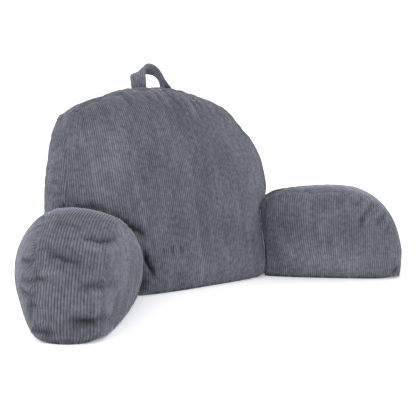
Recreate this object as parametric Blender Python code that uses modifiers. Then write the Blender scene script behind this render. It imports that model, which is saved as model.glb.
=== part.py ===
"""Reading pillow with arms, covered in wide-wale corduroy.

A stuffed back cushion stands on a broad base and leans back. Two stuffed arm cushions are
sewn to its lower sides and splay outwards. Each cushion is an inner and an outer panel
joined by a gusset strip, and a flat carry loop of the same cloth is sewn to the top gusset.

Metres, +Z up. The sitter's side faces -Y, and the pillow stands on z = 0.
"""

import math

import bmesh
import bpy
from mathutils import Vector

PILLOW_NAME = "reading_pillow"

# The whole pillow.
SEAT_HALF_WIDTH = 0.198  # centre line to an arm's inner seam, where it meets the back
ARM_ROOT_Y = -0.0297  # puts the middle of the pillow's depth on the origin
ARM_SPLAY = math.radians(44.0)  # turned outwards from straight ahead
SEWN_GAP = 0.0005  # between pieces that are sewn together, less at the floor and seams

# Back cushion: a front and a rear panel, wide at the floor and arched at the top.
BACK_HEIGHT = 0.468
BACK_CORNER_HEIGHT = 0.405
BACK_BASE_HALF_WIDTH = 0.292
BACK_MIDDLE_HALF_WIDTH = 0.295
BACK_TOP_HALF_WIDTH = 0.272
BACK_SHOULDER_DROP = 0.011  # how far the top corners are pulled in by the stuffing
BACK_TOP_ARCH = 1.8  # power of the arch between the top corners
BACK_FRONT_SEAM_Y = ARM_ROOT_Y + 0.071  # front gusset seam, at the floor
BACK_LEAN = math.radians(11.8)  # of the front gusset seam
BACK_BASE_GUSSET = 0.176
BACK_TOP_GUSSET = 0.056
BACK_FRONT_CROWN = 0.083
BACK_REAR_CROWN = 0.062
BACK_GUSSET_CROWN = 0.010
BACK_BASE_FULLNESS = 0.93  # share of the crown left where a panel meets the floor
BACK_CAGE = (10, 10, 3)  # cage pieces across, up and front to rear

# Arm cushion: D-shaped side panels and a gusset over the top and down the nose.
ARM_LENGTH = 0.342
ARM_HEIGHT = 0.218
ARM_ROOT_HEIGHT = 0.206
ARM_ROOT_PINCH = 0.075  # drop of the inner seam where it tucks into the back
ARM_PINCH_LENGTH = 0.12
ARM_CREST = 0.195  # from the root to the highest point
ARM_NOSE_POWER = 2.5  # 2 is an ellipse, more is squarer
ARM_GUSSET = 0.120
ARM_ROOT_GUSSET = 0.151
ARM_INNER_CROWN = 0.062
ARM_OUTER_CROWN = 0.068
ARM_GUSSET_CROWN = 0.010
ARM_NOSE_CROWN = 0.018
ARM_BASE_FULLNESS = 0.22  # share of the side crown left along the floor
ARM_ROOT_FULLNESS = 0.35  # share of the crown left where a panel meets the back
ARM_ROOT_TUCK = 0.05  # length that reaches into the back before it is cut to the back's side
ARM_CAGE = (9, 8, 3)  # cage pieces along, up and inner to outer

# Carry loop: a flat strap that stands on the top gusset and leans back.
LOOP_HALF_SPAN = 0.042
LOOP_RISE = 0.062
LOOP_WIDTH = 0.044
LOOP_THICKNESS = 0.005
LOOP_LEAN = math.radians(28.0)
LOOP_TUCK = 0.030  # length of each end that reaches into the back before it is cut
LOOP_SINK = 0.006  # the back's crown lies this far under the arch's springing line
LOOP_PIECES = 22

# Seams: how sharply the cushions turn at them, 0 round to 1 sharp.
SEAM_CREASE = 0.55
BASE_CREASE = 1.0

SLATE_CORDUROY = (0.150, 0.160, 0.190, 1.0)
CORDUROY_ROUGHNESS = 0.92


def clear_scene():
    for item in list(bpy.data.objects):
        bpy.data.objects.remove(item, do_unlink=True)


def new_collection(name, is_cutters=False):
    collection = bpy.data.collections.new(name)
    bpy.context.scene.collection.children.link(collection)
    collection.hide_render = is_cutters
    return collection


def corduroy_material(name):
    material = bpy.data.materials.new(name)
    material.use_nodes = True
    shader = material.node_tree.nodes["Principled BSDF"]
    shader.inputs["Base Color"].default_value = SLATE_CORDUROY
    shader.inputs["Roughness"].default_value = CORDUROY_ROUGHNESS
    shader.inputs["Metallic"].default_value = 0.0
    material.diffuse_color = SLATE_CORDUROY
    return material


def link_mesh(name, mesh_data, collection):
    mesh = bpy.data.meshes.new(name)
    mesh_data.to_mesh(mesh)
    mesh_data.free()
    item = bpy.data.objects.new(name, mesh)
    collection.objects.link(item)
    return item


def swell(fraction, squareness, fullness):
    """Stuffing profile across a panel: nothing on its two seams and one in the middle."""
    from_middle = min(abs(2 * fraction - 1), 1.0)
    return (1 - from_middle**squareness) ** fullness


def cushion(name, pieces, place, collection):
    """A stuffed cushion: a unit block cut into a cage, moved into place and subdivided.

    place turns a point of the unit block, whose edges are the seams, into a point of the
    pillow.
    """
    cage = bmesh.new()
    bmesh.ops.create_cube(cage, size=1.0)
    bmesh.ops.translate(cage, verts=cage.verts, vec=(0.5, 0.5, 0.5))
    for axis, count in enumerate(pieces):
        normal = Vector((axis == 0, axis == 1, axis == 2))
        for step in range(1, count):
            bmesh.ops.bisect_plane(
                cage,
                geom=cage.verts[:] + cage.edges[:] + cage.faces[:],
                plane_co=normal * step / count,
                plane_no=normal,
            )
    crease = cage.edges.layers.float.new("crease_edge")
    for edge in cage.edges:
        is_seam = edge.calc_face_angle() > 0.1
        on_base = all(vert.co.y < 0.001 for vert in edge.verts)
        if is_seam:
            edge[crease] = BASE_CREASE if on_base else SEAM_CREASE
    for vert in cage.verts:
        vert.co = place(*vert.co)
    if cage.calc_volume(signed=True) < 0:
        bmesh.ops.reverse_faces(cage, faces=cage.faces)
    item = link_mesh(name, cage, collection)
    item.data.shade_smooth()
    smooth = item.modifiers.new("stuffing", "SUBSURF")
    smooth.levels = 1
    smooth.render_levels = 1
    return item


def back_point(across, up, depth):
    """A point of the back cushion: across and up its panels, depth 0 front to 1 rear."""
    side = 2 * across - 1
    if up < 0.5:
        flare = (1 - 2 * up) ** 2
        half_width = BACK_MIDDLE_HALF_WIDTH + flare * (BACK_BASE_HALF_WIDTH - BACK_MIDDLE_HALF_WIDTH)
    else:
        taper = (2 * up - 1) ** 2
        half_width = BACK_MIDDLE_HALF_WIDTH - taper * (BACK_MIDDLE_HALF_WIDTH - BACK_TOP_HALF_WIDTH)
    arch = 1 - abs(side) ** BACK_TOP_ARCH
    height = up * (BACK_CORNER_HEIGHT + arch * (BACK_HEIGHT - BACK_CORNER_HEIGHT))
    front = BACK_FRONT_SEAM_Y + height * math.tan(BACK_LEAN)
    gusset = BACK_BASE_GUSSET + up * (BACK_TOP_GUSSET - BACK_BASE_GUSSET)
    strip_swell = swell(depth, 2, 1)

    crown = swell(across, 2.6, 0.7)
    widest_up = 0.35
    if up < widest_up:
        crown *= 1 - (1 - BACK_BASE_FULLNESS) * (1 - up / widest_up) ** 2
    else:
        crown *= (1 - ((up - widest_up) / (1 - widest_up)) ** 2.6) ** 0.7
    shoulder = BACK_SHOULDER_DROP * (abs(side) * up) ** 6
    height -= 0.7 * shoulder
    x = side * (half_width - shoulder)
    if across in (0.0, 1.0):
        x += side * BACK_GUSSET_CROWN * strip_swell * math.sin(math.pi * up)
    y = front + depth * gusset
    y += crown * (depth * BACK_REAR_CROWN - (1 - depth) * BACK_FRONT_CROWN)
    z = height
    if up == 1.0:
        z += BACK_GUSSET_CROWN * strip_swell * swell(across, 2.6, 0.7)
    return Vector((x, y, z))


def arm_outline(turn):
    """The seam's side view: turn 0 at the root's top, 1 at the crest, 2 at the nose's foot."""
    if turn < 1:
        along = turn * ARM_CREST
        up = ARM_HEIGHT - (ARM_HEIGHT - ARM_ROOT_HEIGHT) * (1 - turn) ** 2
        return Vector((along, up))
    angle = (2 - turn) * math.pi / 2
    along = ARM_CREST + (ARM_LENGTH - ARM_CREST) * math.cos(angle) ** (2 / ARM_NOSE_POWER)
    up = ARM_HEIGHT * math.sin(angle) ** (2 / ARM_NOSE_POWER)
    return Vector((along, up))


def arm_panel_point(length, up):
    """A point of the D-shaped panel, blended from its top, nose, floor and root edges."""
    corner_turn = 1.55
    top = arm_outline(corner_turn * length)
    nose = arm_outline(2 - (2 - corner_turn) * up)
    floor = Vector((ARM_LENGTH * length, 0))
    root = Vector((0, ARM_ROOT_HEIGHT * up))
    nose_corner = arm_outline(corner_turn)
    corners = length * up * nose_corner + length * (1 - up) * Vector((ARM_LENGTH, 0))
    corners += (1 - length) * up * Vector((0, ARM_ROOT_HEIGHT))
    return (1 - up) * floor + up * top + (1 - length) * root + length * nose - corners


def arm_point(side, length, up, depth):
    """A point of an arm: length from root to nose, depth 0 inner to 1 outer panel."""
    along, height = arm_panel_point(length, up)
    gusset = ARM_ROOT_GUSSET + (ARM_GUSSET - ARM_ROOT_GUSSET) * along / ARM_LENGTH
    rise = swell(up, 2, 0.6)
    rise = max(rise, ARM_BASE_FULLNESS * (1 - up))
    crown = rise * max(swell(length, 2, 0.6), ARM_ROOT_FULLNESS * (1 - length))
    outward = depth * gusset
    if depth == 0.0:
        outward -= ARM_INNER_CROWN * crown
    if depth == 1.0:
        outward += ARM_OUTER_CROWN * crown
    strip_swell = swell(depth, 2, 1)
    if up == 1.0:
        height += strip_swell * ARM_GUSSET_CROWN * (1 - 0.5 * length)
        along += strip_swell * ARM_NOSE_CROWN * 0.5 * length
    elif length == 1.0:
        along += strip_swell * ARM_NOSE_CROWN
    near_root = max(0.0, 1 - along / ARM_PINCH_LENGTH)
    height -= ARM_ROOT_PINCH * up * ((1 - depth) * near_root) ** 2
    if length == 0.0:
        along -= ARM_ROOT_TUCK
    forward = Vector((math.sin(ARM_SPLAY), -math.cos(ARM_SPLAY)))
    sideways = Vector((math.cos(ARM_SPLAY), math.sin(ARM_SPLAY)))
    plan = Vector((SEAT_HALF_WIDTH, ARM_ROOT_Y)) + along * forward + outward * sideways
    return Vector((side * plan.x, plan.y, height))


def back_clearance(cutters):
    """The back cushion grown by the sewn gap, which cuts what is sewn to it."""
    cutter = cushion("back_clearance", BACK_CAGE, back_point, cutters)
    grow = cutter.modifiers.new("sewn gap", "DISPLACE")
    grow.strength = SEWN_GAP
    grow.mid_level = 0.0
    cutter.display_type = "WIRE"
    cutter.hide_render = True
    return cutter


def cut_to_back(item, cutter):
    cut = item.modifiers.new("cut to the back", "BOOLEAN")
    cut.operation = "DIFFERENCE"
    cut.solver = "EXACT"
    cut.object = cutter


def loop_point(along, across):
    """A point of the carry loop: along 0 to 1 from end to end, across -1 front to 1 rear."""
    straight = LOOP_TUCK / (2 * LOOP_TUCK + math.pi * (LOOP_HALF_SPAN + LOOP_RISE) / 2)
    if along < straight:
        x = -LOOP_HALF_SPAN
        rise = -LOOP_TUCK * (1 - along / straight)
    elif along > 1 - straight:
        x = LOOP_HALF_SPAN
        rise = -LOOP_TUCK * (1 - (1 - along) / straight)
    else:
        angle = math.pi * (along - straight) / (1 - 2 * straight)
        x = -LOOP_HALF_SPAN * math.cos(angle)
        rise = LOOP_RISE * math.sin(angle)
    top = back_point(0.5, 1.0, 0.5)
    springing = top - Vector((0, 0, LOOP_SINK))
    standing = Vector((0, math.sin(LOOP_LEAN), math.cos(LOOP_LEAN)))
    crosswise = Vector((0, math.cos(LOOP_LEAN), -math.sin(LOOP_LEAN)))
    width = across * LOOP_WIDTH / 2
    return springing + Vector((x, 0, 0)) + rise * standing + width * crosswise


def carry_loop(collection):
    ribbon = bmesh.new()
    bmesh.ops.create_grid(ribbon, x_segments=LOOP_PIECES, y_segments=2, size=1.0)
    for vert in ribbon.verts:
        vert.co = loop_point(vert.co.x / 2 + 0.5, vert.co.y)
    item = link_mesh("carry_loop", ribbon, collection)
    item.data.shade_smooth()
    fold = item.modifiers.new("folded cloth", "SOLIDIFY")
    fold.thickness = LOOP_THICKNESS
    fold.offset = 0.0
    edge = item.modifiers.new("soft edges", "BEVEL")
    edge.width = LOOP_THICKNESS * 0.3
    edge.segments = 2
    return item


def build():
    clear_scene()
    parts = new_collection(PILLOW_NAME)
    cutters = new_collection("cutters", is_cutters=True)
    cutter = back_clearance(cutters)

    back = cushion("back_cushion", BACK_CAGE, back_point, parts)
    arms = []
    for name, side in (("left_arm", -1), ("right_arm", 1)):
        arms.append(cushion(name, ARM_CAGE, lambda *point, side=side: arm_point(side, *point), parts))
    loop = carry_loop(parts)
    for item in arms + [loop]:
        cut_to_back(item, cutter)
    for item in [back, loop] + arms:
        item.data.materials.append(corduroy_material(item.name + "_corduroy"))


build()
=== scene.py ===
import functools
import math

import bmesh
import bpy
import numpy as np
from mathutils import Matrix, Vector, bvhtree, kdtree, noise


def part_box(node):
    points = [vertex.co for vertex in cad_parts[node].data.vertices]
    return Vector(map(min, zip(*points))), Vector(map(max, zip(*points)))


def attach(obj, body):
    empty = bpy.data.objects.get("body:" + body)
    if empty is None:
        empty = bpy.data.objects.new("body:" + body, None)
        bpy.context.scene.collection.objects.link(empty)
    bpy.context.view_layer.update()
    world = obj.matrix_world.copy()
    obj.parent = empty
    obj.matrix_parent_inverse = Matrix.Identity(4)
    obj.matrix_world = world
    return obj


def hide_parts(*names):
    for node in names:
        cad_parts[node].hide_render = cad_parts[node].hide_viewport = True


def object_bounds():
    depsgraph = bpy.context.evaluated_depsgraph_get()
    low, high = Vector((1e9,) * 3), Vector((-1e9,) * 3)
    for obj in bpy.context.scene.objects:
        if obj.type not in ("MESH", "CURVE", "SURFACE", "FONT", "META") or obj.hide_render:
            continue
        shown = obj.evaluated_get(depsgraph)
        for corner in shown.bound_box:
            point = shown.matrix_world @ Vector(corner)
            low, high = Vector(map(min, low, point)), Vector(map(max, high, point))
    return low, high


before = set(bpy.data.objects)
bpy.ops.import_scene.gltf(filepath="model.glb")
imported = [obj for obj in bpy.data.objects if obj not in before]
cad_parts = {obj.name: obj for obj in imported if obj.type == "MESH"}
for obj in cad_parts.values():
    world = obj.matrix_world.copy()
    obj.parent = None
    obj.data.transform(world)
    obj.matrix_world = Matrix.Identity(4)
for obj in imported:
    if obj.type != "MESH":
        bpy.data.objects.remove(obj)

cad_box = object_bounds()
scene = bpy.context.scene


# --- Studio --------------------------------------------------------------------------------
# A white floor under an even white dome, with one broad skylight behind and to the left,
# which lies on the tops of the arms. The camera stands low, left of the sitter's side.

CAMERA_PLACE = Vector((-1.2405, -1.5763, 0.4134))
CAMERA_YAW = math.radians(39.26)
CAMERA_DIP = math.radians(6.11)
CAMERA_LENS = 72.94
DOME_STRENGTHS = (1.5, 1.15)  # in the open, and in its shaded part
DOME_SHADE = (-0.35, -0.45, 0.80)  # the dome is shaded over the camera
DOME_SHADE_RANGE = (0.1, 0.95)  # cosines from that direction, where the shade starts and is full
SKYLIGHT_STRENGTH = 1.5
SKYLIGHT_WIDTH = math.radians(40.0)
SKYLIGHT_AIM = (0.25, -0.80, -0.55)
FLOOR_SIZE = 80.0
FLOOR_GLOW = 0.25  # keeps the floor white in the pillow's shade

camera_data = bpy.data.cameras.new("camera")
camera_data.lens = CAMERA_LENS
camera_data.clip_end = 200.0
camera = bpy.data.objects.new("camera", camera_data)
camera.location = CAMERA_PLACE
camera.rotation_euler = (math.pi / 2 - CAMERA_DIP, 0.0, -CAMERA_YAW)
scene.collection.objects.link(camera)
scene.camera = camera
scene.view_settings.view_transform = "Standard"

world = bpy.data.worlds.new("white dome")
world.use_nodes = True
dome = world.node_tree.nodes["Background"]
dome.inputs["Color"].default_value = (1.0, 1.0, 1.0, 1.0)
dome_direction = world.node_tree.nodes.new("ShaderNodeTexCoord")
dome_towards = world.node_tree.nodes.new("ShaderNodeVectorMath")
dome_towards.operation = "DOT_PRODUCT"
dome_towards.inputs[1].default_value = Vector(DOME_SHADE).normalized()
dome_range = world.node_tree.nodes.new("ShaderNodeMapRange")
dome_range.interpolation_type = "SMOOTHSTEP"
dome_range.inputs["From Min"].default_value = DOME_SHADE_RANGE[0]
dome_range.inputs["From Max"].default_value = DOME_SHADE_RANGE[1]
dome_range.inputs["To Min"].default_value = DOME_STRENGTHS[0]
dome_range.inputs["To Max"].default_value = DOME_STRENGTHS[1]
world.node_tree.links.new(dome_direction.outputs["Generated"], dome_towards.inputs[0])
world.node_tree.links.new(dome_towards.outputs["Value"], dome_range.inputs["Value"])
world.node_tree.links.new(dome_range.outputs["Result"], dome.inputs["Strength"])
scene.world = world

skylight_data = bpy.data.lights.new("skylight behind", "SUN")
skylight_data.energy = SKYLIGHT_STRENGTH
skylight_data.angle = SKYLIGHT_WIDTH
skylight = bpy.data.objects.new("skylight behind", skylight_data)
skylight.rotation_euler = Vector(SKYLIGHT_AIM).to_track_quat("-Z", "Y").to_euler()
scene.collection.objects.link(skylight)

sweep = bmesh.new()
bmesh.ops.create_grid(sweep, x_segments=1, y_segments=1, size=FLOOR_SIZE / 2)
floor_data = bpy.data.meshes.new("floor")
sweep.to_mesh(floor_data)
sweep.free()
floor = bpy.data.objects.new("floor", floor_data)
scene.collection.objects.link(floor)
floor_paint = bpy.data.materials.new("white sweep")
floor_paint.use_nodes = True
floor_shader = floor_paint.node_tree.nodes["Principled BSDF"]
floor_shader.inputs["Base Color"].default_value = (0.95, 0.95, 0.95, 1.0)
floor_shader.inputs["Roughness"].default_value = 0.9
floor_shader.inputs["Specular IOR Level"].default_value = 0.1
floor_shader.inputs["Emission Color"].default_value = (1.0, 1.0, 1.0, 1.0)
floor_shader.inputs["Emission Strength"].default_value = FLOOR_GLOW
floor_paint.cycles.emission_sampling = "NONE"  # sampled as a lamp, the glow would speckle the cloth
floor_data.materials.append(floor_paint)


# --- Back cushion --------------------------------------------------------------------------
# A broad stuffed bag of wide-wale corduroy: a front and a rear panel, a tapered gusset over
# the sides and the top, and a base panel. It is cut flat, sewn along its edges and stuffed.

WALE = 0.0056  # one rib and its groove, across the cloth
RIB_HEIGHT = 0.0012
WALE_CUTS = (0.0, 0.2, 0.5, 0.8)  # where each wale is cut: groove, shoulder, crest, shoulder
WALE_BAND = 8  # wales that are cut together
CUT_TOLERANCE = 0.00012  # a cut this near a vertex goes through it
STITCH_TOLERANCE = 0.00005
PANEL_PITCH = 2.0  # from one panel to the next on the cutting plan, along the wales
CLOTH_EASE = 1.07  # cloth cut for each metre of the cover before it is stuffed
RUN_UP = 0.4  # share of a panel's height at which the cloth across it is measured
SEAM_SHARPNESS = (1.0, 0.5)  # of the cover's edges: on the floor, and above it
FLOOR_GAP = 0.0004  # between the cloth and the floor
STUFFING_PRESSURE = 4.0
STUFFING_STEPS = 20
STUFFING_SLACK = 0.03  # share by which the cloth may grow as it fills

back_low, back_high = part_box("back_cushion")
BACK_LEAN = math.tan(math.radians(11.8))
BACK_HEIGHT = back_high.z + 0.002
BACK_CORNER_HEIGHT = BACK_HEIGHT - 0.063
BACK_ARCH_POWER = 1.8  # of the top seam, from corner to corner
BACK_HALF_WIDTHS = {  # at the floor, the middle and the top corners
    -1: (0.292, 0.289, 0.271),
    1: (0.277, 0.317, 0.245),
}
BACK_GUSSETS = (0.176, 0.056)  # width of the strip at the floor and at the top
BACK_SEAM_Y = back_low.y + 0.0769  # front seam, at the floor
BACK_CROWNS = (0.083, 0.062)  # front and rear
BACK_FULLEST_UP = 0.35  # share of the height at which the crown is fullest
BACK_FOOT_SPREAD = 0.02  # share by which the crown grows again down to the floor
BACK_SQUARENESS = 2.6  # 2 is a round crown, more stays full nearer to the side seams
BACK_FOOT_SQUARENESS = 2.2  # added at the foot of the right side, which stands fuller
BACK_FULLNESS = 0.7  # less is fuller next to the seams
BACK_SIDE_SWELL = 0.010  # of the strip between its seams
BACK_TOP_SWELL = 0.004
BACK_TOP_FALL = 0.014  # from the front seam to the rear one
BACK_TOP_RUN = 1.4  # cloth of the strip's top for each metre of its sides
BACK_SHOULDER_PULLS = {-1: 0.012, 1: 0.020}  # how far stuffing pulls the top corners in
BACK_SHOULDER_SINK = 0.7  # drop of a top corner for each metre that it is pulled in
BACK_FOOT_ROLL = 0.12  # share of the crown by which the base seam lies back under the panels
BACK_SEAM_DEPTH = 0.003
BACK_MOST_STUFFED = 0.012  # the furthest that stuffing moves the cloth
BACK_CELLS = (52, 26, 7)  # cloth pieces across, up and front to rear
BACK_PLAIN_PANELS = (3,)  # the base


def swell(fraction, squareness, fullness):
    """Stuffing profile across a panel: nothing on its two seams and one in the middle."""
    from_middle = min(abs(2 * fraction - 1), 1.0)
    return (1 - from_middle**squareness) ** fullness


def back_height(across, up):
    arch = 1 - abs(2 * across - 1) ** BACK_ARCH_POWER
    return up * (BACK_CORNER_HEIGHT + arch * (BACK_HEIGHT - BACK_CORNER_HEIGHT))


def back_gusset(up):
    return BACK_GUSSETS[0] + up * (BACK_GUSSETS[1] - BACK_GUSSETS[0])


def back_point(across, up, depth):
    """A point of the stuffed back: across and up its panels, depth 0 front to 1 rear."""
    side = 2 * across - 1
    hand = -1 if side < 0 else 1
    floor_half, middle_half, top_half = BACK_HALF_WIDTHS[hand]
    half_width = middle_half + (2 * up - 1) ** 2 * ((floor_half if up < 0.5 else top_half) - middle_half)
    strip_swell = swell(depth, 2, 1)
    foot_squareness = max(0.0, hand * (1 - up) ** 2 * BACK_FOOT_SQUARENESS)
    crown = swell(across, BACK_SQUARENESS + foot_squareness, BACK_FULLNESS)
    crown *= 1 - BACK_FOOT_ROLL * max(0.0, 1 - up * BACK_CELLS[1])
    if up < BACK_FULLEST_UP:
        crown *= 1 + BACK_FOOT_SPREAD * (1 - up / BACK_FULLEST_UP) ** 2
    else:
        above = (up - BACK_FULLEST_UP) / (1 - BACK_FULLEST_UP)
        crown *= (1 - above**BACK_SQUARENESS) ** BACK_FULLNESS
    shoulder = BACK_SHOULDER_PULLS[hand] * (abs(side) * up) ** 6
    height = back_height(across, up)
    x = side * (half_width - shoulder)
    if across in (0.0, 1.0):
        x += side * BACK_SIDE_SWELL * strip_swell * math.sin(math.pi * up)
    y = BACK_SEAM_Y + height * BACK_LEAN + depth * back_gusset(up)
    y += crown * (depth * BACK_CROWNS[1] - (1 - depth) * BACK_CROWNS[0])
    z = height - BACK_SHOULDER_SINK * shoulder
    from_sides = swell(across, BACK_SQUARENESS, BACK_FULLNESS)
    if up == 1.0:
        z += (BACK_TOP_SWELL * strip_swell - BACK_TOP_FALL * depth) * from_sides
    else:
        z -= BACK_TOP_FALL * depth * up**8 * from_sides
    return Vector((x, y, z))


@functools.lru_cache
def back_run(across):
    """How much cloth lies between the middle of the front panel and a point across it."""
    steps = [back_point(0.5 + (across - 0.5) * step / 40, RUN_UP, 0.0) for step in range(41)]
    run = sum((after - before).length for before, after in zip(steps, steps[1:]))
    return math.copysign(run * CLOTH_EASE, across - 0.5)


def back_plan(panel, across, up, depth):
    """Where a point lies on the flat cloth: across its wales and along them."""
    if panel in ("front", "rear"):
        return back_run(across), back_height(across, up)
    if panel == "base":
        return back_run(across), depth * BACK_GUSSETS[0]
    run = {"left": up, "top": 1 + BACK_TOP_RUN * across, "right": 2 + BACK_TOP_RUN - up}[panel]
    return (depth - 0.5) * back_gusset(up), run * BACK_CORNER_HEIGHT


BACK_PANELS = {  # each face of the block, by axis and end: the panel, and its place on the plan
    (2, 0): ("front", 0),
    (2, 1): ("rear", 1),
    (0, 0): ("left", 2),
    (1, 1): ("top", 2),
    (0, 1): ("right", 2),
    (1, 0): ("base", 3),
}


def panel_of(face, plan):
    middle = sum(loop[plan].uv.y for loop in face.loops) / len(face.loops)
    return int((middle + 0.5) // PANEL_PITCH)


def panels_at(part, plan):
    """The panels that meet at a vertex or an edge."""
    return {panel_of(face, plan) for face in part.link_faces}


def stuffed_block(name, cells, panels, place, plan_place):
    """A unit block cut into cells, each face a panel of cloth, moved to its stuffed place."""
    block = bmesh.new()
    bmesh.ops.create_cube(block, size=1.0)
    bmesh.ops.translate(block, verts=block.verts, vec=(0.5, 0.5, 0.5))
    for axis, count in enumerate(cells):
        normal = Vector((axis == 0, axis == 1, axis == 2))
        for step in range(1, count):
            bmesh.ops.bisect_plane(
                block,
                geom=block.verts[:] + block.edges[:] + block.faces[:],
                plane_co=normal * step / count,
                plane_no=normal,
            )
    plan = block.loops.layers.uv.new("cloth")
    for face in block.faces:
        axis = max(range(3), key=lambda i: abs(face.normal[i]))
        panel, slot = panels[(axis, int(face.normal[axis] > 0))]
        for loop in face.loops:
            u, v = plan_place(panel, *(round(value, 6) for value in loop.vert.co))
            loop[plan].uv = (u, v + slot * PANEL_PITCH)
    for vert in block.verts:
        vert.co = place(*(round(value, 6) for value in vert.co))
    sharpness = block.edges.layers.float.new("crease_edge")
    for edge in block.edges:
        if len(panels_at(edge, plan)) > 1:
            on_floor = all(vert.co.z < 0.0001 for vert in edge.verts)
            edge[sharpness] = SEAM_SHARPNESS[0] if on_floor else SEAM_SHARPNESS[1]
    if block.calc_volume(signed=True) < 0:
        bmesh.ops.reverse_faces(block, faces=block.faces)
    data = bpy.data.meshes.new(name)
    block.to_mesh(data)
    block.free()
    piece = bpy.data.objects.new(name, data)
    scene.collection.objects.link(piece)
    return piece


def held_points(piece, hidden_panels, hold_seams):
    """The vertices of the panels that lie on the floor or on the back, and on the seams."""
    cover = bmesh.new()
    cover.from_mesh(piece.data)
    plan = cover.loops.layers.uv["cloth"]
    held = []
    for vert in cover.verts:
        panels = panels_at(vert, plan)
        if (hold_seams and len(panels) > 1) or panels & set(hidden_panels):
            held.append(vert.index)
    cover.free()
    return held


def apply_modifiers(piece):
    name = piece.data.name
    depsgraph = bpy.context.evaluated_depsgraph_get()
    done = bpy.data.meshes.new_from_object(piece.evaluated_get(depsgraph))
    piece.modifiers.clear()
    old = piece.data
    piece.data = done
    bpy.data.meshes.remove(old)
    done.name = name


def stuff(piece, held, most):
    """Fill the sewn cover: what is held stays, and the pressure rounds the rest of the cloth."""
    start = [vert.co.copy() for vert in piece.data.vertices]
    pins = piece.vertex_groups.new(name="sewn")
    pins.add(held, 1.0, "REPLACE")
    cloth = piece.modifiers.new("stuffing", "CLOTH")
    cloth.settings.quality = 6
    cloth.settings.mass = 0.25
    cloth.settings.tension_stiffness = 25
    cloth.settings.compression_stiffness = 25
    cloth.settings.shear_stiffness = 8
    cloth.settings.bending_stiffness = 1.0
    cloth.settings.shrink_min = -STUFFING_SLACK
    cloth.settings.use_pressure = True
    cloth.settings.uniform_pressure_force = STUFFING_PRESSURE
    cloth.settings.vertex_group_mass = "sewn"
    cloth.settings.effector_weights.gravity = 0.0
    cloth.collision_settings.use_collision = False
    for step in range(1, STUFFING_STEPS + 1):
        scene.frame_set(step)
    apply_modifiers(piece)
    scene.frame_set(1)
    for vert, before in zip(piece.data.vertices, start):
        move = vert.co - before
        if move.length > most:
            vert.co = before + move.normalized() * most


def subdivide(piece):
    smooth = piece.modifiers.new("rounded", "SUBSURF")
    smooth.levels = 1
    smooth.render_levels = 1
    smooth.uv_smooth = "NONE"
    apply_modifiers(piece)


def cut_wales(piece):
    """Unpick the panels, cut each along its wales on the flat plan, and sew them up again.

    The stuffed place of each vertex rides along in a layer, so a cut across the flat cloth
    lands where the stuffed cloth is. Cuts that end on a seam are gathered to its stitches.
    The result is a tree of points along the seams.
    """
    cloth = bmesh.new()
    cloth.from_mesh(piece.data)
    plan = cloth.loops.layers.uv["cloth"]
    seams = [edge for edge in cloth.edges if len(panels_at(edge, plan)) > 1]
    marks = 8  # points on each edge of a seam
    seam_points = kdtree.KDTree(len(seams) * marks)
    for edge in seams:
        for mark in range(marks):
            seam_points.insert(edge.verts[0].co.lerp(edge.verts[1].co, mark / marks), 0)
    seam_points.balance()
    bmesh.ops.split_edges(cloth, edges=seams)
    stuffed = cloth.verts.layers.float_vector.new("stuffed")
    stitch_places = {tuple(vert.co) for vert in cloth.verts if vert.is_boundary}
    stitches = kdtree.KDTree(len(stitch_places))
    for place in sorted(stitch_places):
        stitches.insert(place, 0)
    stitches.balance()
    for vert in cloth.verts:
        vert[stuffed] = vert.co
        u, v = vert.link_loops[0][plan].uv
        vert.co = (u, v, 0.0)
    low = min(vert.co.x for vert in cloth.verts)
    high = max(vert.co.x for vert in cloth.verts)

    def cut(geom, place):
        return bmesh.ops.bisect_plane(
            cloth, geom=geom, dist=CUT_TOLERANCE, plane_co=(place, 0, 0), plane_no=(1, 0, 0)
        )["geom"]

    band = WALE_BAND * WALE
    bands = range(math.floor(low / band), math.ceil(high / band))
    for step in bands[1:]:
        cut(cloth.verts[:] + cloth.edges[:] + cloth.faces[:], step * band)
    banded = {step: set() for step in bands}
    for face in cloth.faces:
        step = math.floor(face.calc_center_median().x / band)
        banded[step].update(face.verts, face.edges, [face])
    for step, members in banded.items():
        geom = list(members)
        for wale in range(WALE_BAND):
            for share in WALE_CUTS:
                if wale + share > 0:  # the band's own edge is cut already
                    geom = cut(geom, (step * WALE_BAND + wale + share) * WALE)

    flat = cloth.verts.layers.float_vector.new("flat")
    for vert in cloth.verts:
        vert[flat] = vert.co
        vert.co = stitches.find(vert[stuffed])[0] if vert.is_boundary else vert[stuffed]
    cloth.verts.layers.float_vector.remove(cloth.verts.layers.float_vector["stuffed"])
    bmesh.ops.remove_doubles(cloth, verts=cloth.verts, dist=STITCH_TOLERANCE)
    cloth.to_mesh(piece.data)
    cloth.free()
    return seam_points


def read_points(data, name):
    values = np.empty(len(data.vertices) * 3, np.float32)
    data.attributes[name].data.foreach_get("vector", values)
    return values.reshape(-1, 3).astype(float)


def read_normals(data):
    values = np.empty(len(data.vertices) * 3, np.float32)
    data.vertex_normals.foreach_get("vector", values)
    return values.reshape(-1, 3).astype(float)


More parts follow.
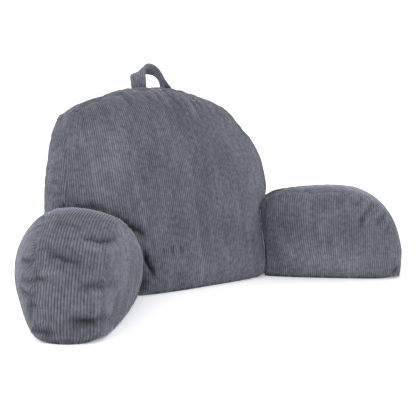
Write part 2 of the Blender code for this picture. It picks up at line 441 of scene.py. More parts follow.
def crease(flat, places, stations, width):
    """How near each point is to a line through some points of the flat cloth.

    It is 1 on the line, and 0 away from it and at its two ends.
    """
    stops = [stations[0]]
    for before, after in zip(stations, stations[1:]):
        steps = 4 if before[0] == after[0] else 1
        for step in range(1, steps + 1):
            share = step / steps
            stops.append((after[0], *(b + share * (a - b) for b, a in zip(before[1:], after[1:]))))
    line = []
    for panel, u, v in stops:
        gap = flat[:, :2] - np.array((u, v + panel * PANEL_PITCH))
        line.append(places[np.argmin((gap**2).sum(axis=1))])
    lengths = [np.linalg.norm(end - start) + 1e-9 for start, end in zip(line, line[1:])]
    nearest = np.full(len(places), np.inf)
    share = np.zeros(len(places))
    for index, length in enumerate(lengths):
        run = line[index + 1] - line[index]
        along = np.clip((places - line[index]) @ run / length**2, 0, 1)
        away = np.linalg.norm(places - line[index] - along[:, None] * run, axis=1)
        passed = sum(lengths[:index]) + along * length
        share = np.where(away < nearest, passed / sum(lengths), share)
        nearest = np.minimum(nearest, away)
    return (1 - np.abs(2 * share - 1) ** 3) * np.exp(-((nearest / width) ** 2))


RIB_ROUNDNESS = 0.6  # 1 is a plain wave, less is a fuller rib with a narrower groove
SEAM_WIDTH = 0.005  # of the groove in which a seam lies
RIB_FADES = (0.020, 0.005)  # how far the ribs take to rise from a seam: on the floor, and above it
PUCKER_DEPTH = 0.0035
PUCKER_REACH = 0.022
PUCKER_START = 0.004  # next to a seam, its stitches hold the cloth flat
PUCKER_WAVES = (55, 130)  # a metre, coarse and fine
LUMP_DEPTH = 0.004  # of the uneven filling under a panel
LUMP_REACH = 0.030
LUMP_WAVES = 9
SEED_STEPS = (7.3, 3.1, 5.7)  # move each piece to its own part of the noise
FLOOR_REACH = 0.03  # seams this near the floor lose their groove and puckers
FOLD_SINK = 1.3  # share of its depth by which a fold sinks
FOLD_SWELL = 0.45  # and by which the cloth swells beside it
FOLD_SWELL_WIDTH = 2.2  # of the swelling, in widths of the fold
FOLD_PAINTED_SHADE = 65.0  # painted shade in a fold's crease for each metre of its depth; a ridge gets painted light
FOOT_PAINTED_SHADOW = (0.70, 0.006)  # painted shadow at the floor: how much it darkens, and how far up
# painted shade darkens the dye to no less than this share of it
DARKEST_PAINTED_SHADE = 0.15


def dress(piece, seam_points, folds, painted_shading, wear, plain_panels, seam_depth, seed):
    """Raise the ribs, sink the seams, pucker and fold the cloth, and paint light and shade on it.

    Folds, painted light and shade, and wear are soft lines through points of the flat
    cloth. The plain panels are hidden ones, which stay smooth.
    """
    data = piece.data
    flat = read_points(data, "flat")
    places = read_points(data, "position")
    normals = read_normals(data)
    to_seam = np.empty(len(places))
    pucker = np.empty(len(places))
    lumps = np.empty(len(places))
    seam_height = np.empty(len(places))
    shift = Vector([seed * step for step in SEED_STEPS])
    coarse, fine = PUCKER_WAVES
    for index, place in enumerate(places):
        nearest, _, distance = seam_points.find(place)
        to_seam[index] = distance
        seam_height[index] = nearest.z
        pucker[index] = noise.noise(nearest * coarse + shift)
        pucker[index] += 0.5 * noise.noise(nearest * fine + shift)
        lumps[index] = noise.noise(Vector(place) * LUMP_WAVES + shift)
    panel = np.floor((flat[:, 1] + 0.5) / PANEL_PITCH)
    loose = 1 - np.isin(panel, plain_panels)
    phase = (flat[:, 0] / WALE) % 1.0
    above_floor = np.clip(seam_height / FLOOR_REACH, 0.0, 1)

    worn = np.zeros(len(places))
    for width, share, *stations in wear:
        worn += share * crease(flat, places, stations, width)
    rib = RIB_HEIGHT * np.abs(np.sin(math.pi * phase)) ** RIB_ROUNDNESS * (1 - worn)
    rib *= np.clip(to_seam / (RIB_FADES[0] + (RIB_FADES[1] - RIB_FADES[0]) * above_floor), 0.0, 1)
    offset = rib - seam_depth * np.exp(-((to_seam / SEAM_WIDTH) ** 2)) * above_floor
    drawn = pucker * np.exp(-to_seam / PUCKER_REACH) * np.clip(to_seam / PUCKER_START, 0, 1)
    offset += PUCKER_DEPTH * drawn * above_floor
    offset += LUMP_DEPTH * lumps * np.clip(to_seam / LUMP_REACH, 0, 1)
    offset *= loose

    # A factor on the dye that paints light and shade: shade in creases and along the floor, light on
    # ridges, and the listed lighter and darker lines.
    painted_light_and_shade = np.ones(len(places))
    for width, depth, *stations in folds:
        line = crease(flat, places, stations, width)
        shoulders = crease(flat, places, stations, width * FOLD_SWELL_WIDTH)
        offset += (FOLD_SWELL * shoulders - FOLD_SINK * line) * depth
        painted_light_and_shade -= FOLD_PAINTED_SHADE * depth * line  # painted shade in the crease, painted light on a ridge
    # painted light and shade along the listed lines
    for width, lift, *stations in painted_shading:
        painted_light_and_shade += lift * crease(flat, places, stations, width)
    # painted contact shadow along the floor
    painted_light_and_shade -= FOOT_PAINTED_SHADOW[0] * np.exp(-((places[:, 2] / FOOT_PAINTED_SHADOW[1]) ** 2)) * loose
    painted_light_and_shade = np.maximum(painted_light_and_shade, DARKEST_PAINTED_SHADE)
    for name, values in (("painted_light_and_shade", painted_light_and_shade), ("worn", worn)):
        data.attributes.new(name, "FLOAT", "POINT").data.foreach_set("value", values)
    places += normals * offset[:, None]
    places[:, 2] = np.maximum(places[:, 2], FLOOR_GAP)
    data.vertices.foreach_set("co", places.ravel())
    data.update()
    data.shade_smooth()


corduroy = bpy.data.materials.new("slate corduroy")
corduroy.use_nodes = True
tree = corduroy.node_tree
shader = tree.nodes["Principled BSDF"]
shader.inputs["Roughness"].default_value = 0.92
shader.inputs["Specular IOR Level"].default_value = 0.25
shader.inputs["Sheen Weight"].default_value = 1.0
shader.inputs["Sheen Roughness"].default_value = 0.2
shader.inputs["Sheen Tint"].default_value = (0.80, 0.85, 1.0, 1.0)


def put(kind, **values):
    made = tree.nodes.new("ShaderNode" + kind)
    for name, value in values.items():
        setattr(made, name, value)
    return made


def math_step(operation, first, second, third=0.0):
    made = put("Math", operation=operation)
    for socket, value in zip(made.inputs, (first, second, third)):
        if isinstance(value, bpy.types.NodeSocket):
            tree.links.new(value, socket)
        else:
            socket.default_value = value
    return made.outputs[0]


def cloth_noise(across, along, detail, roughness):
    """Noise on the flat cloth, with its own number of spots a metre across and along."""
    stretch = put("Mapping")
    stretch.inputs["Scale"].default_value = (across, along, 1.0)
    tree.links.new(cloth_map.outputs["UV"], stretch.inputs["Vector"])
    spots = put("TexNoise", noise_dimensions="2D")
    spots.inputs["Scale"].default_value = 1.0
    spots.inputs["Detail"].default_value = detail
    spots.inputs["Roughness"].default_value = roughness
    tree.links.new(stretch.outputs["Vector"], spots.inputs["Vector"])
    return spots.outputs["Fac"]


cloth_map = put("UVMap", uv_map="cloth")
cloth_axes = put("SeparateXYZ")
tree.links.new(cloth_map.outputs["UV"], cloth_axes.inputs[0])
wales = math_step("MULTIPLY", cloth_axes.outputs["X"], 1 / WALE)
crest = math_step("PINGPONG", wales, 0.5)  # 0 in the groove, 0.5 on the crest
pile_and_groove_shade = math_step("SMOOTH_MIN", math_step("MULTIPLY", crest, 3.2), 1.0, 0.3)  # full on the rib; darker in the groove, partly its own bare weave and partly painted shade
rubbed = put("Attribute", attribute_name="worn")
pile_and_groove_shade = math_step("MAXIMUM", pile_and_groove_shade, math_step("MULTIPLY", rubbed.outputs["Fac"], 0.9))  # grooves close
# Single tufts, streaks of the weave, brushed patches, and spots where the pile is crushed.
tufts = cloth_noise(260, 90, 3.0, 0.6)
streaks = cloth_noise(60, 9, 3.0, 0.55)
patches = cloth_noise(14, 9, 4.0, 0.6)
crushed = cloth_noise(75, 110, 2.0, 0.5)
shade = math_step("MULTIPLY_ADD", patches, 0.55, 0.45)
layers = ((crushed, 0.8, 0.60), (streaks, 0.5, 0.75), (tufts, 0.8, 0.60), (pile_and_groove_shade, 0.55, 0.49))
for layer, share, least in layers:
    shade = math_step("MULTIPLY", shade, math_step("MULTIPLY_ADD", layer, share, least))
dye = put("ValToRGB")
dye.color_ramp.elements[0].position = 0.25
dye.color_ramp.elements[0].color = (0.039, 0.044, 0.058, 1.0)
dye.color_ramp.elements[1].position = 1.0
dye.color_ramp.elements[1].color = (0.160, 0.165, 0.191, 1.0)
tree.links.new(shade, dye.inputs["Fac"])
# the painted light and shade that dress leaves on each vertex scales the dye
painted_shading_attribute = put("Attribute", attribute_name="painted_light_and_shade")
dye_with_painted_shading = put("VectorMath", operation="SCALE")
tree.links.new(dye.outputs["Color"], dye_with_painted_shading.inputs[0])
tree.links.new(painted_shading_attribute.outputs["Fac"], dye_with_painted_shading.inputs["Scale"])
tree.links.new(dye_with_painted_shading.outputs[0], shader.inputs["Base Color"])
grain = put("Bump")
grain.inputs["Strength"].default_value = 0.18
grain.inputs["Distance"].default_value = 0.0005
tree.links.new(math_step("MULTIPLY_ADD", pile_and_groove_shade, 0.8, tufts), grain.inputs["Height"])
tree.links.new(grain.outputs["Normal"], shader.inputs["Normal"])

BACK_FOLDS = (  # width, depth (less than 0 for a ridge), and points: panel, across and along it
    (0.006, -0.0030, (0, -0.119, 0.460), (0, -0.104, 0.438)),
    (0.006, -0.0040, (0, -0.051, 0.470), (0, -0.034, 0.430)),
    (0.006, -0.0040, (0, -0.024, 0.466), (0, -0.008, 0.415)),
    (0.007, -0.0050, (0, 0.030, 0.464), (0, 0.063, 0.438), (0, 0.072, 0.390)),
    (0.006, -0.0040, (0, 0.100, 0.450), (0, 0.086, 0.395)),
    (0.006, -0.0030, (0, 0.136, 0.436), (0, 0.148, 0.400)),
    (0.006, -0.0030, (0, 0.213, 0.412), (0, 0.226, 0.378)),
    (0.006, 0.0030, (0, 0.004, 0.464), (0, 0.039, 0.405)),
    (0.006, 0.0025, (0, -0.075, 0.466), (0, -0.059, 0.430)),
    (0.006, 0.0025, (0, 0.175, 0.430), (0, 0.186, 0.385)),
    (0.018, -0.0040, (2, -0.020, 0.570), (2, -0.020, 0.630)),
    (0.005, 0.0050, (0, -0.115, 0.110), (0, -0.112, 0.088)),
    (0.005, 0.0050, (0, -0.088, 0.111), (0, -0.087, 0.080)),
    (0.005, 0.0050, (0, -0.064, 0.111), (0, -0.057, 0.080)),
    (0.008, 0.0080, (0, -0.235, 0.186), (0, -0.196, 0.158), (0, -0.167, 0.141), (0, -0.154, 0.131)),
    (0.006, 0.0080, (0, -0.168, 0.108), (0, -0.161, 0.079), (0, -0.148, 0.053), (0, -0.146, 0.040)),
    (0.010, 0.0050, (0, -0.168, 0.044), (0, -0.175, 0.026), (0, -0.182, 0.010)),
    (0.006, 0.0070, (0, -0.325, 0.207), (0, -0.287, 0.203), (0, -0.262, 0.197), (0, -0.225, 0.180)),
    (0.007, 0.0030, (2, 0.030, 0.287), (2, -0.060, 0.287)),
    (0.007, 0.0030, (2, 0.030, 0.255), (2, -0.060, 0.260)),
    (0.007, 0.0030, (2, 0.030, 0.231), (2, -0.060, 0.231)),
    (0.012, 0.0050, (1, -0.273, 0.060), (1, -0.182, 0.120), (1, -0.128, 0.190)),
    (0.012, 0.0040, (1, 0.290, 0.050), (1, 0.210, 0.150)),
    (0.010, 0.0035, (1, -0.043, 0.455), (1, -0.063, 0.390)),
    (0.010, 0.0035, (1, 0.058, 0.455), (1, 0.099, 0.370)),
    (0.010, -0.0030, (1, 0.011, 0.460), (1, 0.023, 0.380)),
)

BACK_PAINTED_SHADING = (  # painted light and shade, lighter or darker: width, change, and points on the flat cloth
    (0.060, 0.35, (0, -0.243, 0.400), (0, -0.243, 0.150)),
    (0.060, 0.35, (0, 0.234, 0.330), (0, 0.252, 0.100)),
    (0.050, -0.12, (0, -0.106, 0.420), (0, 0.070, 0.410)),
    (0.007, -0.45, (0, -0.235, 0.184), (0, -0.196, 0.158), (0, -0.167, 0.141), (0, -0.148, 0.126)),
    (0.006, -0.45, (0, -0.168, 0.110), (0, -0.161, 0.079), (0, -0.148, 0.053), (0, -0.146, 0.038)),
    (0.012, -0.40, (0, -0.170, 0.065), (0, -0.175, 0.026), (0, -0.182, 0.004)),
    (0.045, 0.20, (0, -0.063, 0.040), (0, 0.234, 0.040)),
)

back = stuffed_block("back_cover", BACK_CELLS, BACK_PANELS, back_point, back_plan)
stuff(back, held_points(back, BACK_PLAIN_PANELS, hold_seams=True), BACK_MOST_STUFFED)
subdivide(back)
smooth_back = bvhtree.BVHTree.FromObject(back, bpy.context.evaluated_depsgraph_get())
back_seams = cut_wales(back)
dress(back, back_seams, BACK_FOLDS, BACK_PAINTED_SHADING, (), BACK_PLAIN_PANELS, BACK_SEAM_DEPTH, seed=1)
back.data.materials.append(corduroy)
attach(back, "root")
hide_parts("back_cushion")


# --- Arm cushions --------------------------------------------------------------------------
# Two stuffed D-shaped cushions: an inner and an outer panel with one gusset strip over the
# top and down the nose. The open root is sewn flat against the back's lower corners.

ARM_SPLAYS = {-1: math.radians(44.0), 1: math.radians(44.6)}  # left and right, outwards
ARM_ROOTS = {-1: Vector((-0.1926, -0.0349)), 1: Vector((0.2074, -0.0206))}  # the inner seam's foot
ARM_LENGTHS = {-1: 0.366, 1: 0.340}
ARM_HEIGHTS = {-1: 0.207, 1: 0.216}
ARM_ROOT_HEIGHTS = {-1: 0.194, 1: 0.200}
ARM_CREST = 0.190  # from the root to the highest point
ARM_CORNER = 1.55  # turn of the outline that the block's corner takes, on the nose
ARM_NOSE_POWERS = {-1: 2.2, 1: 2.42}  # 2 is an ellipse, more is squarer
ARM_NOSE_BULGES = {-1: 0.018, 1: 0.012}  # how far the strip swells at the nose
ARM_TILTS = {-1: 0.009, 1: 0.0}  # how much higher the outer seam lies than the middle
ARM_NOSE_START = 0.6  # turn of the outline at which that swelling starts
ARM_TOP_SWELL = 0.002  # of the strip along the top
ARM_CORNER_LIFT = 0.007  # how far the nose's lower corners stand off the floor
ARM_CORNER_REACH = 0.06
ARM_ROOT_PINCHES = {-1: 0.110, 1: 0.030}  # drop of the inner seam where it meets the back
ARM_PINCH_LENGTHS = {-1: 0.23, 1: 0.06}
ARM_GUSSETS = (0.151, 0.126)  # width of the strip at the root and at the nose
ARM_CROWNS = {-1: (0.021, 0.058), 1: (0.034, 0.058)}  # inner and outer
ARM_LENGTH_FULLNESS = (2.4, 0.75)  # squareness and fullness of a crown from root to nose
ARM_HEIGHT_FULLNESS = (2.2, 0.7)  # and from the floor to the top
ARM_FOOT_FULLNESS = {-1: (0.70, 0.13), 1: (0.45, 0.13)}  # share of each crown left along the floor
ARM_ROOT_FULLNESS = {-1: 0.10, 1: -0.05}  # and where a panel meets the back
ARM_ROOT_LEANS = {-1: 0.0, 1: 0.026}  # how far the inner panel's root leans outwards
ARM_OUTER_PINCH = 0.006  # drop of the outer seam where it meets the back
ARM_OUTER_PINCH_LENGTH = 0.09
ARM_FOOT_ROLL = 0.006  # how far the base seam lies back under the panels
ARM_ROOT_GAP = 0.002  # between the root and the back
ARM_PROBE = 0.6  # how far ahead of the root the search for the back starts
ARM_PROBE_HEIGHT = 0.012  # the least, which clears the back's rolled foot
ARM_SEAM_DEPTH = 0.0012
ARM_MOST_STUFFED = 0.008
ARM_CELLS = (30, 18, 11)
ARM_PLAIN_PANELS = (3, 4)  # the base and the root


def arm_outline(side, turn):
    """The seam seen from the side: turn 0 at the root, 1 at the crest, 2 at the nose's foot."""
    height, root_height = ARM_HEIGHTS[side], ARM_ROOT_HEIGHTS[side]
    if turn < 1:
        return Vector((turn * ARM_CREST, height - (height - root_height) * (1 - turn) ** 2))
    angle = (2 - turn) * math.pi / 2
    reach = ARM_LENGTHS[side] - ARM_CREST
    along = ARM_CREST + reach * max(0.0, math.cos(angle)) ** (2 / ARM_NOSE_POWERS[side])
    return Vector((along, height * math.sin(angle) ** (2 / ARM_NOSE_POWERS[side])))


def arm_panel_point(side, length, up):
    """A point of the D-shaped panel, blended from its top, nose, floor and root edges."""
    foot = Vector((ARM_LENGTHS[side], 0))
    root_top = Vector((0, ARM_ROOT_HEIGHTS[side]))
    top = arm_outline(side, ARM_CORNER * length)
    nose = arm_outline(side, 2 - (2 - ARM_CORNER) * up)
    edges = (1 - up) * length * foot + up * top + (1 - length) * up * root_top + length * nose
    corners = length * up * arm_outline(side, ARM_CORNER)
    corners += length * (1 - up) * foot + (1 - length) * up * root_top
    return edges - corners


def arm_gusset(side, along):
    return ARM_GUSSETS[0] + (ARM_GUSSETS[1] - ARM_GUSSETS[0]) * along / ARM_LENGTHS[side]


def arm_point(side, length, up, depth):
    """A point of an arm: length from root to nose, depth 0 inner to 1 outer panel."""
    along, height = arm_panel_point(side, length, up)
    fullness = swell(length, *ARM_LENGTH_FULLNESS) + ARM_ROOT_FULLNESS[side] * (1 - length) ** 3
    inner, outer = (
        fullness * crown * max(swell(up, *ARM_HEIGHT_FULLNESS), foot * (1 - up))
        for crown, foot in zip(ARM_CROWNS[side], ARM_FOOT_FULLNESS[side])
    )
    inner -= ARM_ROOT_LEANS[side] * up * (1 - length) ** 5
    foot_roll = ARM_FOOT_ROLL * max(0.0, 1 - up * ARM_CELLS[1])
    inner -= foot_roll
    outer -= foot_roll
    outward = depth * (arm_gusset(side, along) + outer) - (1 - depth) * inner
    if up == 1.0 or length == 1.0:
        turn = ARM_CORNER * length if up == 1.0 else 2 - (2 - ARM_CORNER) * up
        angle = (2 - max(turn, 1)) * math.pi / 2
        nose_share = max(0, turn - ARM_NOSE_START) / (2 - ARM_NOSE_START)
        bulge = swell(depth, 2, 1) * (ARM_TOP_SWELL + ARM_NOSE_BULGES[side] * nose_share)
        along += bulge * math.cos(angle)
        height += bulge * math.sin(angle)
    height += ARM_TILTS[side] * up * (2 * depth - 1) * min(1, 2 * length)
    off_corner = math.hypot(ARM_LENGTHS[side] - along, height)
    lift = max(0, 1 - off_corner / ARM_CORNER_REACH) ** 2
    height += ARM_CORNER_LIFT * lift * abs(2 * depth - 1) ** 3
    near_root = max(0.0, 1 - along / ARM_PINCH_LENGTHS[side])
    height -= ARM_ROOT_PINCHES[side] * up * ((1 - depth) * near_root) ** 2
    near_root = max(0.0, 1 - along / ARM_OUTER_PINCH_LENGTH)
    height -= ARM_OUTER_PINCH * up * (depth * near_root) ** 2
    splay = ARM_SPLAYS[side]
    forward = Vector((side * math.sin(splay), -math.cos(splay), 0))
    outside = Vector((side * math.cos(splay), math.sin(splay), 0))
    root = Vector((*ARM_ROOTS[side], height)) + outward * outside
    if length < 1:
        probe = root + ARM_PROBE * forward
        probe.z = max(probe.z, ARM_PROBE_HEIGHT)
        _, _, _, distance = smooth_back.ray_cast(probe, -forward)
        reach = ARM_PROBE - distance - ARM_ROOT_GAP
        along += reach * (1 - length) ** 1.5
    return root + along * forward


def arm_run(side, turn):
    """Length of the gusset strip from the root's top to this turn of the outline."""
    steps = [arm_outline(side, turn * step / 24) for step in range(25)]
    return sum((after - before).length for before, after in zip(steps, steps[1:]))


@functools.lru_cache
def arm_runs(side, panel):
    """Places along an arm, and how much cloth its panel has from the root to each of them."""
    past_nose = 0.02
    shares = [step / 30 for step in range(31)]
    steps = [arm_point(side, share, RUN_UP, float(panel == "outer")) for share in shares]
    runs = np.cumsum([0.0] + [(after - before).length for before, after in zip(steps, steps[1:])])
    alongs = np.array([arm_panel_point(side, share, RUN_UP).x for share in shares])
    ease = runs[-1] / alongs[-1]
    alongs = np.append(alongs, alongs[-1] + past_nose)
    return alongs, np.append(runs, runs[-1] + past_nose * ease) * CLOTH_EASE


def arm_plan(side, panel, length, up, depth):
    along, rise = arm_panel_point(side, length, up)
    if panel in ("inner", "outer"):
        return float(np.interp(along, *arm_runs(side, panel))), rise
    across = (depth - 0.5) * arm_gusset(side, along)
    if panel == "top":
        return across, arm_run(side, ARM_CORNER * length)
    if panel == "nose":
        return across, arm_run(side, 2 - (2 - ARM_CORNER) * up)
    return across, along + rise


ARM_PANELS = {
    (2, 0): ("inner", 0),
    (2, 1): ("outer", 1),
    (1, 1): ("top", 2),
    (0, 1): ("nose", 2),
    (1, 0): ("base", 3),
    (0, 0): ("root", 4),
}

ARM_FOLDS = {  # folds, and painted light and shade, as on the back
    -1: (
        (0.006, 0.0080, (2, -0.018, 0.306), (2, -0.040, 0.299), (2, -0.060, 0.292), (0, 0.290, 0.182)),
        (0.007, 0.0065, (2, 0.042, 0.347), (2, 0.004, 0.352), (2, -0.011, 0.354), (2, -0.028, 0.358)),
        (0.005, 0.0040, (2, 0.058, 0.335), (2, 0.041, 0.335), (2, 0.022, 0.343)),
        (0.006, 0.0060, (1, 0.385, 0.098), (1, 0.414, 0.102), (2, 0.053, 0.390), (2, 0.026, 0.390)),
        (0.005, 0.0060, (1, 0.390, 0.089), (1, 0.419, 0.079), (2, 0.058, 0.417)),
        (0.008, 0.0065, (2, -0.015, 0.398), (2, -0.036, 0.394), (2, -0.058, 0.385), (0, 0.345, 0.102)),
        (0.009, 0.0080, (2, -0.006, 0.454), (2, -0.030, 0.454), (2, -0.056, 0.452)),
        (0.007, 0.0040, (0, 0.395, 0.038), (0, 0.345, 0.030)),
        (0.007, 0.0080, (2, 0.064, 0.477), (2, 0.040, 0.476), (2, 0.012, 0.480)),
        (0.005, 0.0050, (1, 0.368, 0.133), (1, 0.391, 0.133), (2, 0.059, 0.353)),
        (0.005, 0.0040, (1, 0.420, 0.055), (2, 0.060, 0.435), (2, 0.040, 0.437)),
        (0.006, 0.0030, (2, 0.035, 0.277), (2, -0.020, 0.283)),
        (0.008, -0.0040, (2, 0.000, 0.325), (2, -0.060, 0.318), (0, 0.310, 0.165)),
        (0.008, -0.0040, (2, 0.050, 0.375), (2, 0.000, 0.385)),
    ),
    1: (
        (0.007, 0.005, (0, 0.283, 0.205), (0, 0.250, 0.180)),
        (0.007, 0.006, (0, 0.307, 0.200), (0, 0.283, 0.170), (0, 0.258, 0.132)),
        (0.007, 0.005, (0, 0.339, 0.170), (0, 0.305, 0.135)),
        (0.007, 0.004, (0, 0.352, 0.142), (0, 0.330, 0.112)),
        (0.006, -0.003, (0, 0.292, 0.192), (0, 0.269, 0.158)),
        (0.006, -0.003, (0, 0.322, 0.178), (0, 0.292, 0.140)),
        (0.008, 0.004, (0, 0.214, 0.208), (0, 0.216, 0.172)),
        (0.009, 0.003, (0, 0.173, 0.202), (0, 0.179, 0.168)),
        (0.010, 0.002, (0, 0.061, 0.150), (0, 0.087, 0.120)),
        (0.005, 0.003, (0, 0.047, 0.198), (0, 0.027, 0.177), (0, 0.016, 0.130), (0, 0.011, 0.050)),
        (0.006, 0.007, (0, 0.391, 0.034), (0, 0.358, 0.010)),
    ),
}

# painted light and shade, as on the back: on the left arm a darker top and a darker crease, on the right
# arm a lighter top, foot and root
ARM_PAINTED_SHADING = {
    -1: (
        (0.060, -0.25, (2, 0.010, 0.120), (2, 0.000, 0.300)),
        (0.009, -0.40, (2, -0.015, 0.454), (2, -0.048, 0.454), (2, -0.062, 0.448), (0, 0.340, 0.030)),
    ),
    1: (
        (0.045, 0.50, (0, 0.042, 0.045), (0, 0.372, 0.045)),
        (0.060, 0.95, (2, 0.000, 0.080), (2, 0.000, 0.340)),
        (0.022, 0.40, (0, 0.004, 0.010), (0, 0.004, 0.150)),
    ),
}

ARM_WEAR = {  # where the ribs are rubbed down: width, share, and points on the flat cloth
    -1: (
        (0.055, 0.80, (0, 0.200, 0.207), (0, 0.330, 0.165), (0, 0.390, 0.090), (0, 0.405, 0.000)),
        (0.055, 0.80, (1, 0.200, 0.207), (1, 0.340, 0.165), (1, 0.405, 0.090), (1, 0.423, 0.000)),
        (0.070, -0.45, (2, 0.000, 0.200), (2, 0.000, 0.520)),
    ),
    1: (),
}

BACK_DENT = (0.0040, 0.010)  # where an arm is sewn on: depth and width
BACK_DENT_PAINTED_SHADE = (0.3, 0.004)  # painted shade along the root, and its width
BACK_PRESS_REACH = 0.03  # from the arm's root
BACK_PRESS_GAP = 0.0006  # between the arm and the back
BACK_PRESS_MOST = 0.005


def give_way(arm):
    """Sink the back's cloth where the arm's root is sewn to it and where the arm presses on it, and
    paint shade along the root.
    """
    panel_slots = np.floor((read_points(arm.data, "flat")[:, 1] + 0.5) / PANEL_PITCH)
    root_slot = ARM_PANELS[(0, 0)][1]
    root_points = kdtree.KDTree(len(arm.data.vertices))
    for vert, slot in zip(arm.data.vertices, panel_slots):
        if slot == root_slot:
            root_points.insert(vert.co, vert.index)
    root_points.balance()
    places = read_points(back.data, "position")
    to_root = np.array([root_points.find(place)[2] for place in places])
    inward = -read_normals(back.data)
    places += (BACK_DENT[0] * np.exp(-((to_root / BACK_DENT[1]) ** 2)))[:, None] * inward
    arm_skin = bvhtree.BVHTree.FromObject(arm, bpy.context.evaluated_depsgraph_get())
    for index in np.flatnonzero(to_root < BACK_PRESS_REACH):
        skin, outward, _, _ = arm_skin.find_nearest(Vector(places[index]))
        gap = (Vector(places[index]) - skin).dot(outward)
        places[index] += min(max(BACK_PRESS_GAP - gap, 0.0), BACK_PRESS_MOST) * inward[index]
    back.data.vertices.foreach_set("co", places.ravel())
    # painted shade in the seam where the arm meets the back
    painted_shading_values = back.data.attributes["painted_light_and_shade"].data
    painted_light_and_shade = np.empty(len(places), np.float32)
    painted_shading_values.foreach_get("value", painted_light_and_shade)
    painted_light_and_shade -= BACK_DENT_PAINTED_SHADE[0] * np.exp(-((to_root / BACK_DENT_PAINTED_SHADE[1]) ** 2))
    painted_shading_values.foreach_set("value", np.maximum(painted_light_and_shade, DARKEST_PAINTED_SHADE))
    back.data.update()


for arm_name, side in (("left_arm", -1), ("right_arm", 1)):
    place = functools.partial(arm_point, side)
    plan_place = functools.partial(arm_plan, side)
    arm = stuffed_block(arm_name + "_cover", ARM_CELLS, ARM_PANELS, place, plan_place)
    stuff(arm, held_points(arm, ARM_PLAIN_PANELS, hold_seams=False), ARM_MOST_STUFFED)
    subdivide(arm)
    arm_seams = cut_wales(arm)
    folds, painted_shading, wear = ARM_FOLDS[side], ARM_PAINTED_SHADING[side], ARM_WEAR[side]
    dress(arm, arm_seams, folds, painted_shading, wear, ARM_PLAIN_PANELS, ARM_SEAM_DEPTH, seed=2 + side)
    arm.data.materials.append(corduroy)
    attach(arm, "root")
    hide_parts(arm_name)
    give_way(arm)


# --- Carry loop ----------------------------------------------------------------------------
# A flat strap of the same corduroy, folded double with its wales along it and stitched. Its
# two ends are sewn to the top gusset, and it leans back with its rear edge hanging lower.

LOOP_THICKNESS = 0.005
LOOP_LENGTH = 0.190
LOOP_WIDTH = 8 * WALE
LOOP_SEAM_DEPTH = 0.0004
LOOP_FOOT_REACH = 0.035  # below its top, where the strap starts to lie on the back
LOOP_FOOT_GAPS = (0.001, 0.0005)  # between its ends and the back, and between its feet and the back
LOOP_CELLS = (30, 8, 1)
LOOP_PLAIN_PANELS = (2, 3, 4, 5)  # its edges and ends
top_height = cad_box[1].z
LOOP_FRONT_EDGE = (  # from the left foot over the crown to the right foot
    (-0.028, 0.150, top_height - 0.0590),
    (-0.025, 0.155, top_height - 0.0420),
    (-0.021, 0.163, top_height - 0.0250),
    (-0.013, 0.173, top_height - 0.0080),
    (0.000, 0.178, top_height - 0.0015),
    (0.014, 0.178, top_height - 0.0035),
    (0.025, 0.175, top_height - 0.0110),
    (0.031, 0.167, top_height - 0.0240),
    (0.036, 0.157, top_height - 0.0430),
    (0.050, 0.150, top_height - 0.0640),
)
LOOP_REAR_EDGE = (
    (-0.037, 0.194, top_height - 0.0570),
    (-0.040, 0.199, top_height - 0.0405),
    (-0.0345, 0.204, top_height - 0.0295),
    (-0.014, 0.207, top_height - 0.0260),
    (0.006, 0.208, top_height - 0.0250),
    (0.020, 0.208, top_height - 0.0255),
    (0.034, 0.207, top_height - 0.0275),
    (0.044, 0.205, top_height - 0.0340),
    (0.051, 0.200, top_height - 0.0460),
    (0.051, 0.194, top_height - 0.0630),
)


def along_points(points, share):
    """A smooth path through the points, share 0 to 1 from the first to the last."""
    place = min(max(share, 0.0), 1.0) * (len(points) - 1)
    index = min(int(place), len(points) - 2)
    t = place - index
    before, start, end, after = (
        Vector(points[min(max(index + step, 0), len(points) - 1)]) for step in (-1, 0, 1, 2)
    )
    curve = 2 * start + (end - before) * t + (2 * before - 5 * start + 4 * end - after) * t**2
    return (curve + (3 * start - before - 3 * end + after) * t**3) / 2


dressed_back = bvhtree.BVHTree.FromObject(back, bpy.context.evaluated_depsgraph_get())


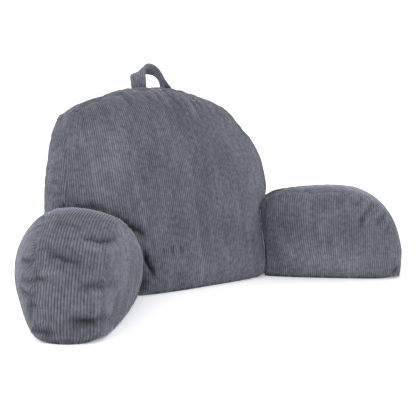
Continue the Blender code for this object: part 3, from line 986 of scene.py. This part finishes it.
def back_top(x, y):
    return dressed_back.ray_cast(Vector((x, y, 1.0)), Vector((0, 0, -1)))[0].z


def landed(edge):
    """The edge's path, with its two ends standing on the back's top."""
    ends = [(x, y, back_top(x, y) + LOOP_FOOT_GAPS[0]) for x, y, _ in (edge[0], edge[-1])]
    return (ends[0], *edge[1:-1], ends[1])


LOOP_EDGES = (landed(LOOP_FRONT_EDGE), landed(LOOP_REAR_EDGE))


def loop_point(along, across, depth):
    """A point of the strap: along its length, front to rear across it, 0 inside to 1 outside."""
    front, rear = (along_points(edge, along) for edge in LOOP_EDGES)
    ahead = along_points(LOOP_EDGES[0], along + 0.01) - along_points(LOOP_EDGES[0], along - 0.01)
    outward = ahead.cross(rear - front).normalized()
    return front.lerp(rear, across) + (depth - 0.5) * LOOP_THICKNESS * outward


def loop_plan(panel, along, across, depth):
    if panel in ("inside", "outside"):
        return (across - 0.5) * LOOP_WIDTH, along * LOOP_LENGTH
    if panel in ("front edge", "rear edge"):
        return (depth - 0.5) * LOOP_THICKNESS, along * LOOP_LENGTH
    return (across - 0.5) * LOOP_WIDTH, depth * LOOP_THICKNESS


LOOP_PANELS = {
    (2, 0): ("inside", 0),
    (2, 1): ("outside", 1),
    (1, 0): ("front edge", 2),
    (1, 1): ("rear edge", 3),
    (0, 0): ("left end", 4),
    (0, 1): ("right end", 5),
}

# painted light on the outside of the strap
LOOP_PAINTED_LIGHT = ((0.200, 0.45, (1, 0.0, 0.005), (1, 0.0, 0.185)),)

loop = stuffed_block("carry_loop_strap", LOOP_CELLS, LOOP_PANELS, loop_point, loop_plan)
subdivide(loop)
loop_seams = cut_wales(loop)
dress(loop, loop_seams, (), LOOP_PAINTED_LIGHT, (), LOOP_PLAIN_PANELS, LOOP_SEAM_DEPTH, seed=5)
for vert in loop.data.vertices:
    if vert.co.z < top_height - LOOP_FOOT_REACH:
        vert.co.z = max(vert.co.z, back_top(vert.co.x, vert.co.y) + LOOP_FOOT_GAPS[1])
loop.data.materials.append(corduroy)
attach(loop, "root")
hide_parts("carry_loop")
